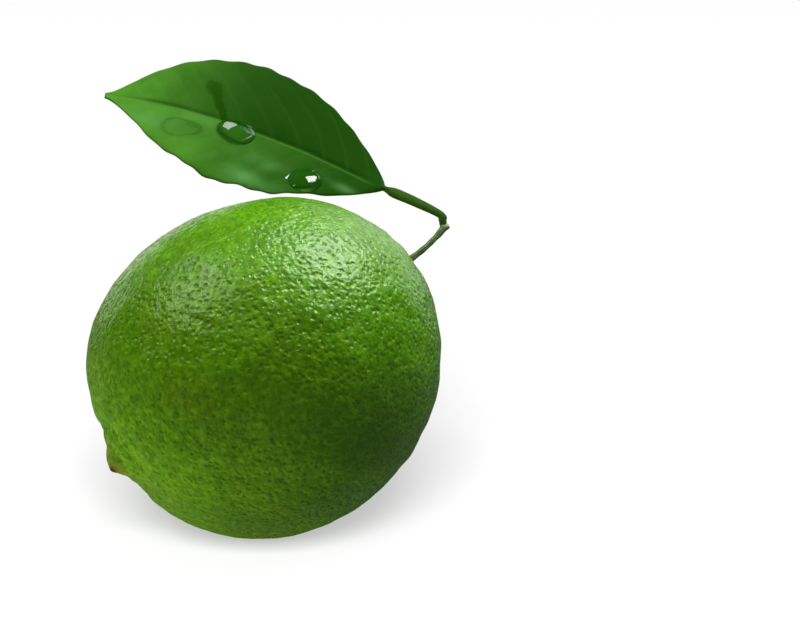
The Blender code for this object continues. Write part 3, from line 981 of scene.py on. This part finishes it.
def leaf_line():
    """A smooth cubic curve through the leaf's middle points.

    Gives the run from the joint, the points and the directions.
    """
    fine = 60
    before, after = 2 * LEAF_MIDDLE[0] - LEAF_MIDDLE[1], 2 * LEAF_MIDDLE[-1] - LEAF_MIDDLE[-2]
    padded = np.vstack((before, LEAF_MIDDLE, after))
    share = np.arange(fine)[None, :, None] / fine
    before, start, end, after = (padded[k:len(padded) - 3 + k, None, :] for k in range(4))
    curve = 0.5 * (
        2 * start + (end - before) * share
        + (2 * before - 5 * start + 4 * end - after) * share ** 2
        + (3 * start - before - 3 * end + after) * share ** 3
    )
    dense = np.vstack((curve.reshape(-1, 3), LEAF_MIDDLE[-1:]))
    run = np.append(0.0, np.cumsum(np.linalg.norm(np.diff(dense, axis=0), axis=1)))
    along = np.gradient(dense, axis=0)
    along /= np.linalg.norm(along, axis=1)[:, None]
    return run - run[fine * LEAF_JOINT_INDEX], dense, along


LEAF_RUN, LEAF_LINE, LEAF_ALONG = leaf_line()
PETIOLE_LENGTH = -LEAF_RUN[0]
BLADE_LENGTH = LEAF_RUN[-1]


def leaf_half_width(run, across):
    """Half the width at a run from the joint: winged petiole, narrow joint, then the blade.

    The blade's outline is a sine over its length, raised to a power for its fullness, drawn in
    after the joint and before the tip, and scalloped along the edge, out of step on the two sides.
    """
    foot = np.clip(-run / PETIOLE_LENGTH, 0.0, 1.0)
    petiole = PETIOLE_HALF_WIDTH - (PETIOLE_HALF_WIDTH - PETIOLE_FOOT_HALF_WIDTH) * foot ** 2
    share = np.clip(run / BLADE_LENGTH, 0.0, 1.0)
    outline = np.sin(math.pi * share) ** BLADE_FULLNESS
    outline = outline * (1.0 - BLADE_TIP_TAPER * share ** BLADE_TIP_POWER)
    outline = outline * (1.0 - BLADE_BASE_TAPER * (1.0 - share) ** BLADE_BASE_POWER)
    blade = (BLADE_HALF_WIDTH - JOINT_HALF_WIDTH) * outline
    shift = np.where(across < 0.0, 0.0, SCALLOP_SIDE_SHIFT)
    scallop = SCALLOP_DEPTH * np.sin(2 * math.pi * SCALLOP_COUNT * share + shift) * outline
    pinch = 1.0 - bell(run, JOINT_PINCH_SPREAD)
    return JOINT_HALF_WIDTH + np.where(run < 0.0, (petiole - JOINT_HALF_WIDTH) * pinch, blade + scallop)


def leaf_sheet(run, position):
    """Points of the leaf's middle surface, the way each one faces, and its reach from the midrib.

    The two parameters are the run from the joint and the position across from -1 to 1. A point
    goes out across the line, lifts by the fold, falls back by the curl, and carries the wave,
    which grows to the edge.
    """
    run, position = np.broadcast_arrays(run, position)
    middle = np.stack([np.interp(run, LEAF_RUN, LEAF_LINE[:, axis]) for axis in range(3)], axis=-1)
    along = np.stack([np.interp(run, LEAF_RUN, LEAF_ALONG[:, axis]) for axis in range(3)], axis=-1)
    along /= np.linalg.norm(along, axis=-1, keepdims=True)
    across = np.cross(LEAF_FACES, along)
    across /= np.linalg.norm(across, axis=-1, keepdims=True)
    facing = np.cross(along, across)
    reach = leaf_half_width(run, position) * position
    share = np.clip(run / BLADE_LENGTH, 0.0, 1.0)
    wave = np.sin(2 * math.pi * WAVE_COUNT * share + WAVE_SIDE_SHIFT * np.sign(position))
    wave = wave * np.abs(position) ** WAVE_EDGE_POWER * np.where(position < 0.0, *WAVE_SHARES)
    lift = BLADE_FOLD * np.abs(reach) - BLADE_CURL * reach ** 2 / BLADE_HALF_WIDTH
    lift = (lift + WAVE_HEIGHT * wave) * np.sin(math.pi * share)
    return middle + across * reach[..., None] + facing * lift[..., None], facing, reach


def leaf_veins(run, reach, settings):
    """How strongly the side veins show, and how far the blade between them bulges.

    A side vein leaves the midrib slanting to the tip and bends further towards it. Its phase is
    the run less that slant, in vein spacings, and the veins lie at whole numbers of it.
    """
    out = np.abs(reach)
    phase = (run - VEIN_SLANT * out - VEIN_BEND * out ** 2) / settings.vein_spacing
    phase = phase + np.where(reach < 0.0, VEIN_SIDE_SHIFT, 0.0)
    phase = phase + VEIN_SWAY * np.sin(run / VEIN_SWAY_LENGTH + np.sign(reach))
    away = np.abs(phase - np.round(phase))
    inner = slope(run, *VEIN_START) * (1.0 - slope(out, *VEIN_REACH))
    inner = inner * (1.0 - slope(run / BLADE_LENGTH, 0.90, 0.99))
    vein = bell(away * settings.vein_spacing, VEIN_SPREAD) * inner
    bulge = np.cos(2.0 * math.pi * phase) * -0.5 + 0.5
    return vein, bulge * inner * slope(out, 0.5 * MM, 3.0 * MM)


def wet_marks(run, reach):
    """Where water has wetted the leaf: a streak with a wide end, and a thin oval film."""
    along, across = run / MM, reach / MM
    start, end = np.array(STREAK_ENDS)
    line = end - start
    share = ((along - start[0]) * line[0] + (across - start[1]) * line[1]) / (line @ line)
    share = np.clip(share, 0.0, 1.0)
    away = np.hypot(along - start[0] - share * line[0], across - start[1] - share * line[1])
    width = 1.7 - 1.1 * np.sqrt(share) + 0.15 * np.sin(3.0 * along) + 0.12 * np.sin(5.0 * across)
    streak = (1.0 - slope(away / width, 0.3, 1.3)) * 0.8
    x, y = along - FILM_MIDDLE[0], across - FILM_MIDDLE[1]
    oval = np.hypot((x - FILM_SLANT * y) / FILM_SIZE[0], y / FILM_SIZE[1])
    oval = oval + 0.07 * np.sin(3.0 * np.arctan2(y, x) + 1.0)
    film = (1.0 - slope(oval, 0.70, 1.05)) * 0.38 + bell(oval - 0.88, 0.12) * 0.30
    return np.clip(streak + film, 0.0, 1.0)


def leaf_look(settings):
    """Shader sockets of the leaf: dark by the twig, lighter to the tip, painted sheen on the lower half and
    in pale bands, painted shade along the midrib, veined, pale below.
    """
    def paint(nodes):
        place = nodes.place()
        under = nodes.attribute("underside")
        vein = nodes.attribute("vein")
        wet = nodes.attribute("wet") * (1.0 - under)
        cloud = nodes.noise(place, 5.0 * MM, 4.0, 0.6)
        grain = nodes.noise(place, 0.6 * MM, 3.0, 0.6)
        net = nodes.cells(place, 0.7 * MM)
        # lighter towards the tip, and sooner and more on the lower half, where that part is painted sheen
        light = nodes.attribute("light") * (1.0 + (cloud - 0.5) * 1.2) + (grain - 0.5) * 0.06
        skin = nodes.coats(
            settings.deep,
            (light, settings.light),
            # painted sheen in pale bands
            (nodes.attribute("painted_sheen") * (cloud - 0.2) * 2.0, settings.painted_sheen),
            # painted shade along the midrib's crease
            (nodes.attribute("crease_shade") * 0.6, darker(settings.deep, 0.5)),
            (vein * 0.75, settings.vein),
            (wet * 0.6, darker(settings.deep, 0.75)),
            (under, nodes.mix(vein * 0.6 + net * 0.2, settings.under, settings.vein)),
            (nodes.attribute("margin") * 0.7, settings.margin),
            (nodes.attribute("petiole"), settings.petiole),
        )
        return {
            "Base Color": skin,
            "Roughness": settings.roughness + (cloud - 0.5) * 0.2 + under * 0.2 - wet * 0.3,
            "Normal": nodes.bump((net * (0.012 * MM) + grain * (0.01 * MM)) * (1.0 - wet)),
            "Specular IOR Level": 0.2,
            "Specular Tint": (0.3, 1.0, 0.1, 1.0),
        }
    return new_material("leaf_skin", paint)


class LIME_OT_leaf(bpy.types.Operator):
    """Make the veined leaf with its winged petiole in place of the plain one"""

    bl_idname = "lime.make_leaf"
    bl_label = "Make the leaf"

    def execute(self, context):
        settings = context.scene.lime_leaf
        run = np.linspace(-PETIOLE_LENGTH, BLADE_LENGTH, settings.steps)[:, None]
        over = np.linspace(-1.0, 1.0, settings.columns + 1)
        position = np.concatenate((over, over[-2:0:-1]))[None, :]
        below = np.concatenate((np.zeros(len(over)), np.ones(len(over) - 2)))[None, :]
        sheet, facing, reach = leaf_sheet(run, position)
        run, position, below = np.broadcast_arrays(run, position, below)
        share = np.clip(run / BLADE_LENGTH, 0.0, 1.0)
        vein, bulge = leaf_veins(run, reach, settings)

        rounding = np.sqrt(np.maximum(1.0 - np.abs(position) ** BLADE_EDGE_POWER, 0.0))
        stalk = 1.0 - slope(run, *STALK_END)
        half = settings.thickness / 2.0 * rounding
        edge, middle = STALK_THICKNESS
        thick = (edge + middle * (1.0 - position ** 2)) * np.sqrt(np.maximum(1.0 - position ** 6, 0.0))
        half = half + (thick - half) * stalk
        groove = settings.groove * bell(reach, MIDRIB_SPREAD) * (1.0 - 0.7 * share) * (1.0 - stalk)
        keel = settings.keel * bell(reach, KEEL_SPREAD) * (1.0 - 0.8 * share) * (1.0 - stalk)
        relief = settings.vein_relief * vein - settings.quilt * bulge
        top = half - rounding * (groove + relief)
        bottom = half + rounding * (keel + relief)
        offset = np.where(below > 0.5, -bottom, top)
        points = sheet + facing * offset[..., None]
        pucker = ripples(points, PUCKER_SIZE, 41) * PUCKER_RISE * np.sin(math.pi * share)
        points = points + facing * pucker[..., None]
        ends = np.vstack((LEAF_LINE[0], LEAF_LINE[-1]))
        # The leaf lightens towards the tip. On the lower half it lightens sooner and more, and that part is
        # painted sheen where light falls on the tilted half of the fold
        light_above = np.clip((share - 0.35) / 0.55, 0.0, 1.0) ** 2.5
        tone_and_sheen_below = np.clip((share - 0.05) / 0.85, 0.0, 1.0) ** 1.6
        light = light_above + (tone_and_sheen_below - light_above) * slope(reach, -LIGHT_SPREAD, LIGHT_SPREAD)
        rib = bell(reach - 0.7 * MM, 0.22 * MM) * slope(share, 0.02, 0.1)
        rib = rib * (1.0 - slope(share, 0.5, 0.8) * 0.6)
        # painted shade: a dark line along the fold of the midrib
        crease_shade = bell(reach + 0.1 * MM, 0.45 * MM) * slope(share, 0.02, 0.2)
        # painted sheen: pale bands on the lower half
        painted_sheen = np.zeros(share.shape)
        for middle_run, middle_reach, half_length, half_width, strength in SHEEN_BANDS:
            away = np.hypot((run / MM - middle_run) / half_length, (reach / MM - middle_reach) / half_width)
            painted_sheen = np.maximum(painted_sheen, strength * bell(away, 1.0))
        masks = {
            "underside": below,
            "vein": np.clip(vein * 0.10 + rib * 0.6, 0.0, 1.0),
            "crease_shade": crease_shade * (1.0 - slope(share, 0.82, 0.95)) * (1.0 - stalk),
            "painted_sheen": painted_sheen,
            "wet": wet_marks(run, reach),
            "light": light,
            "margin": bell(1.0 - np.abs(position), MARGIN_SPREAD) * (1.0 - stalk),
            "petiole": 1.0 - slope(run, -0.5 * MM, 1.0 * MM),
        }
        masks = {
            name: np.append(values.ravel(), (values[0].mean(), values[-1].mean()))
            for name, values in masks.items()
        }
        new_piece("leaf_blade", np.vstack((points.reshape(-1, 3), ends)), tube_faces(*run.shape),
                  leaf_look(settings), masks, "leaf")
        return {"FINISHED"}


def drop_points(middle_run, middle_reach, half_length, half_width, turn, height, along, across, crown, sink):
    """A drop that lies on the leaf: rings from its top to its rim, then back under it.

    The outline is an ellipse with a slow ripple, laid on the leaf's surface. The top is a tilted
    paraboloid that is kept above zero and times (1 - share^6)^0.5 of the ring's share of the
    outline. The base follows the leaf. The second value is how near each point is to the rim.
    """
    angle = full_turn(DROP_SIDES)[None, :]
    sweep = np.sin(np.linspace(0.02, math.pi / 2.0, DROP_ROWS))[:, None]
    share = np.concatenate((sweep, sweep[-2::-1]))
    domed = np.concatenate((np.ones(DROP_ROWS), np.zeros(DROP_ROWS - 1)))[:, None]
    ripple = 1.0 + 0.06 * np.cos(3.0 * angle + 0.8) + 0.04 * np.cos(2.0 * angle - 0.5)
    x = half_length * share * ripple * np.cos(angle)
    y = half_width * share * ripple * np.sin(angle)
    x, y = x * math.cos(turn) - y * math.sin(turn), x * math.sin(turn) + y * math.cos(turn)
    run, reach = (middle_run + x) * MM, (middle_reach + y) * MM
    points, facing, _ = leaf_sheet(run, reach / leaf_half_width(run, reach))
    dome = height + along * x + across * y - (x ** 2 + y ** 2) / (2.0 * crown)
    dome = 0.5 * (dome + np.sqrt(dome ** 2 + DROP_EASE ** 2))
    rise = dome * MM * np.sqrt(np.maximum(1.0 - share ** DROP_RIM_POWER, 0.0)) * domed - sink
    points = points + facing * (rise + LEAF_SKIN)[..., None]
    ends = np.vstack((points[0].mean(axis=0), points[-1].mean(axis=0)))
    rim = slope(share, 0.72, 1.0) * np.ones(angle.shape)
    return np.vstack((points.reshape(-1, 3), ends)), np.append(rim.ravel(), (0.0, 0.0))


def water_look(settings):
    """Shader sockets of the water: a part-clear dark green sheet of painted shade that darkens the leaf
    under a drop, most of all at its rim.
    """
    def paint(nodes):
        return {
            "Base Color": opaque(settings.tint),
            # painted shade: the drop hides more of the leaf at its rim
            "Alpha": settings.body + nodes.attribute("rim") * (settings.rim - settings.body),
            "Roughness": 0.03,
            "IOR": 2.0,
            "Specular IOR Level": 1.0,
        }
    return new_material("water", paint)


class LIME_OT_water(bpy.types.Operator):
    """Lay the drops of water on the leaf"""

    bl_idname = "lime.make_water"
    bl_label = "Make the drops of water"

    def execute(self, context):
        settings = context.scene.lime_water
        material = water_look(settings)
        for name, *sizes in DROPS:
            points, rim = drop_points(*sizes, settings.sink)
            new_piece(name, points, tube_faces(2 * DROP_ROWS - 1, DROP_SIDES), material, {"rim": rim})
        return {"FINISHED"}


def add_softbox(settings, name, matt, towards, distance, size, watts, share):
    """A square area light in a direction from the fruit's centre, turned to face it.

    It lights either matt surfaces or reflections, and it casts no shadow.
    """
    light = bpy.data.lights.new(name, "AREA")
    light.shape = "RECTANGLE"
    light.size, light.size_y = size
    light.energy = getattr(settings, watts) * share
    light.use_shadow = False
    softbox = bpy.data.objects.new(name, light)
    towards = Vector(towards).normalized()
    softbox.location = Vector(FRUIT_CENTRE) + towards * distance
    softbox.rotation_euler = towards.to_track_quat("Z", "Y").to_euler()
    softbox.visible_camera = False
    softbox.visible_diffuse = matt
    softbox.visible_glossy = not matt
    softbox.visible_transmission = False
    bpy.context.scene.collection.objects.link(softbox)
    return softbox


def light_only(softboxes, pieces):
    """Let the softboxes light these pieces and nothing else."""
    lit = bpy.data.collections.new("lit_by_" + softboxes[0].name)
    for piece in pieces:
        lit.objects.link(piece)
    for softbox in softboxes:
        softbox.light_linking.receiver_collection = lit


def studio_world():
    """Soft light from above for matt surfaces, and plain white where the camera sees it."""
    world = bpy.data.worlds.new("studio")
    bpy.context.scene.world = world
    world.cycles_visibility.glossy = False
    world.cycles_visibility.transmission = False
    nodes = Nodes(world)
    direction = nodes.add("ShaderNodeTexCoord", {}, {}, "Generated")
    height = nodes.add("ShaderNodeSeparateXYZ", {}, {0: direction}, "Z")
    light = 0.03 + height.step(0.25, 1.0) * 0.75
    seen = nodes.add("ShaderNodeLightPath", {}, {}, "Is Camera Ray")
    strength = light + seen * (1.2 - light)
    nodes.fill(nodes.tree.nodes["Background"], {"Color": (1.0, 1.0, 1.0, 1.0), "Strength": strength})


def floor_look(settings):
    """Shader sockets of the pale floor: it glows for the camera, and is dimmer in reflections."""
    def paint(nodes):
        cloud = nodes.noise(nodes.place(), 40.0 * MM, 2.0)
        rays = nodes.add("ShaderNodeLightPath", {}, {}, "Is Camera Ray")
        skin = nodes.coats(
            settings.floor,
            (cloud, darker(settings.floor, 0.99)),
            (rays.output("Is Glossy Ray"), (0.035, 0.035, 0.035)),
            (rays.output("Is Diffuse Ray"), (0.06, 0.06, 0.06)),
        )
        return {
            "Base Color": skin,
            "Emission Color": nodes.mix(rays, (0.0, 0.0, 0.0), (1.0, 1.0, 1.0)),
            "Emission Strength": settings.floor_lift,
            "Roughness": 0.8,
            "Specular IOR Level": 0.0,
        }
    return new_material("floor_paint", paint)


class LIME_OT_stage(bpy.types.Operator):
    """Add the pale floor, the softboxes, the studio's light and the camera"""

    bl_idname = "lime.make_stage"
    bl_label = "Set the stage"

    def execute(self, context):
        settings = context.scene.lime_studio
        pieces = [item for item in context.scene.objects if item.type == "MESH"]
        turn = full_turn(FLOOR_SIDES)
        rim = settings.floor_radius * np.column_stack((np.cos(turn), np.sin(turn), np.zeros(FLOOR_SIDES)))
        mesh = bpy.data.meshes.new("floor")
        mesh.from_pydata(rim.tolist(), [], [list(range(FLOOR_SIDES))])
        mesh.materials.append(floor_look(settings))
        floor = bpy.data.objects.new("floor", mesh)
        context.scene.collection.objects.link(floor)

        softboxes = {lamp[0]: add_softbox(settings, *lamp) for lamp in LAMPS}
        for name, skipped in GLINT_SKIPS.items():
            light_only([softboxes[name]], [piece for piece in pieces if piece.name not in skipped])
        shadow = softboxes.pop("floor_softbox")
        shadow.data.use_shadow = True
        light_only([softbox for softbox in softboxes.values() if softbox.visible_diffuse], pieces)
        light_only([shadow], [floor])
        studio_world()

        camera = bpy.data.cameras.new("camera")
        camera.lens = settings.lens
        camera.sensor_width = SENSOR_WIDTH
        camera.clip_start = NEAREST_SEEN
        viewer = bpy.data.objects.new("camera", camera)
        viewer.location = CAMERA_PLACE
        viewer.rotation_euler = (CAMERA_PITCH, 0.0, 0.0)
        context.scene.collection.objects.link(viewer)
        context.scene.camera = viewer
        context.scene.view_settings.view_transform = "Standard"
        return {"FINISHED"}


OPERATORS = (LIME_OT_rind, LIME_OT_calyx, LIME_OT_twig, LIME_OT_leaf, LIME_OT_water, LIME_OT_stage)


class LIME_PT_pieces(bpy.types.Panel):
    """Lists the lime's pieces and their settings"""

    bl_idname = "LIME_PT_pieces"
    bl_label = "Lime"
    bl_space_type = "VIEW_3D"
    bl_region_type = "UI"
    bl_category = "Lime"

    def draw(self, context):
        for operator, name in zip(OPERATORS, SETTINGS):
            box = self.layout.box()
            box.operator(operator.bl_idname)
            settings = getattr(context.scene, name)
            for prop in settings.bl_rna.properties:
                if prop.identifier not in ("rna_type", "name"):
                    box.prop(settings, prop.identifier)


def register():
    for kind in (*SETTINGS.values(), *OPERATORS, LIME_PT_pieces):
        bpy.utils.register_class(kind)
    for name, kind in SETTINGS.items():
        setattr(bpy.types.Scene, name, PointerProperty(type=kind))


def unregister():
    for name in SETTINGS:
        delattr(bpy.types.Scene, name)
    for kind in reversed((*SETTINGS.values(), *OPERATORS, LIME_PT_pieces)):
        bpy.utils.unregister_class(kind)


def main():
    """Register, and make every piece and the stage."""
    register()
    bpy.ops.lime.make_rind()
    bpy.ops.lime.make_calyx()
    bpy.ops.lime.make_twig()
    bpy.ops.lime.make_leaf()
    bpy.ops.lime.make_water()
    bpy.ops.lime.make_stage()


if __name__ == "__main__":
    main()
